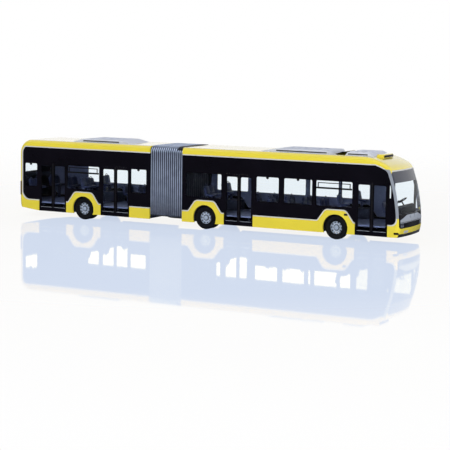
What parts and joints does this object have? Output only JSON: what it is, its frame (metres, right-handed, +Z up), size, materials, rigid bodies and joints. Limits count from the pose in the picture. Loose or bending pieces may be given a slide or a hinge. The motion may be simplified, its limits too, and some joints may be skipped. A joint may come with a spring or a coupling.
{
  "type": "articulated city bus scale model",
  "caption": "Scale model of a low-floor articulated city bus: two glazed cars joined by a folding bellows over a swivel pin, on rolling wheel sets.",
  "frame": {"origin": "centre of the overall box in plan, on the floor under the tyres", "axes": "+X forward to the windscreen, +Z up, doors on the -Y side"},
  "size_m": [0.2083, 0.0294, 0.0402],
  "materials": {
    "yellow": "gloss moulded plastic",
    "gloss_black": "gloss black printed plastic",
    "clear": "clear plastic glazing",
    "display": "dark smoked plastic",
    "silver": "silver paint on plastic",
    "lamp": "clear plastic over silver",
    "tail_lamp": "dark red plastic",
    "chassis": "matt black plastic",
    "floor": "matt dark grey plastic",
    "seat": "matt dark blue plastic",
    "dash": "matt dark grey plastic",
    "cowl": "satin pale grey plastic",
    "frame": "matt black plastic",
    "grille": "matt grey plastic",
    "bellows": "soft folded blue-grey skin",
    "axle": "plain drawn steel",
    "rim": "silver paint on plastic",
    "tyre": "matt black rubber"
  },
  "bodies": {
    "front_car": {"front_shell": "yellow", "front_skirts": "yellow", "front_side_right": "gloss_black", "front_side_left": "gloss_black", "front_doors": "gloss_black", "front_panes_right": "clear", "front_panes_left": "clear", "windscreen": "clear", "display_panel": "display", "pillar_trims": "silver", "front_mask": "gloss_black", "mask_trim": "silver", "headlamps": "lamp", "front_chassis": "chassis", "front_floor": "floor", "front_seats": "seat", "dashboard": "dash", "steering_wheel": "dash", "front_battery_cowl": "cowl", "front_air_unit": "cowl", "front_end_frame": "frame", "bellows": "bellows", "front_lines": "silver", "fog_lamps": "gloss_black", "roof_strut": "gloss_black", "front_cowl_strips": "grille", "roof_inlet": "gloss_black"},
    "rear_car": {"rear_shell": "yellow", "rear_skirts": "yellow", "rear_side_right": "gloss_black", "rear_side_left": "gloss_black", "rear_doors": "gloss_black", "rear_panes_right": "clear", "rear_panes_left": "clear", "rear_window": "clear", "rear_hatch": "yellow", "tail_lamps": "tail_lamp", "rear_chassis": "chassis", "rear_floor": "floor", "rear_seats": "seat", "rear_battery_cowl": "cowl", "rear_end_frame": "frame", "rear_lines": "silver", "rear_cowl_strips": "grille"},
    "front_wheels": {"front_axle": "axle", "front_rims": "rim", "front_tyres": "tyre"},
    "middle_wheels": {"middle_axle": "axle", "middle_rims": "rim", "middle_tyres": "tyre"},
    "rear_wheels": {"rear_axle": "axle", "rear_rims": "rim", "rear_tyres": "tyre"}
  },
  "joints": [
    {"name": "articulation", "type": "hinge", "parent": "front_car", "child": "rear_car", "pos_m": [-0.01725, 0, 0.0037], "axis": [0, 0, 1], "range_deg": [-40, 40], "deforming": ["bellows"]},
    {"name": "front_axle_spin", "type": "hinge", "parent": "front_car", "child": "front_wheels", "pos_m": [0.07193, 0, 0.0055], "axis": [0, 1, 0], "continuous": true},
    {"name": "middle_axle_spin", "type": "hinge", "parent": "front_car", "child": "middle_wheels", "pos_m": [0.00411, 0, 0.0055], "axis": [0, 1, 0], "continuous": true},
    {"name": "rear_axle_spin", "type": "hinge", "parent": "rear_car", "child": "rear_wheels", "pos_m": [-0.06474, 0, 0.0055], "axis": [0, 1, 0], "continuous": true}
  ]
}
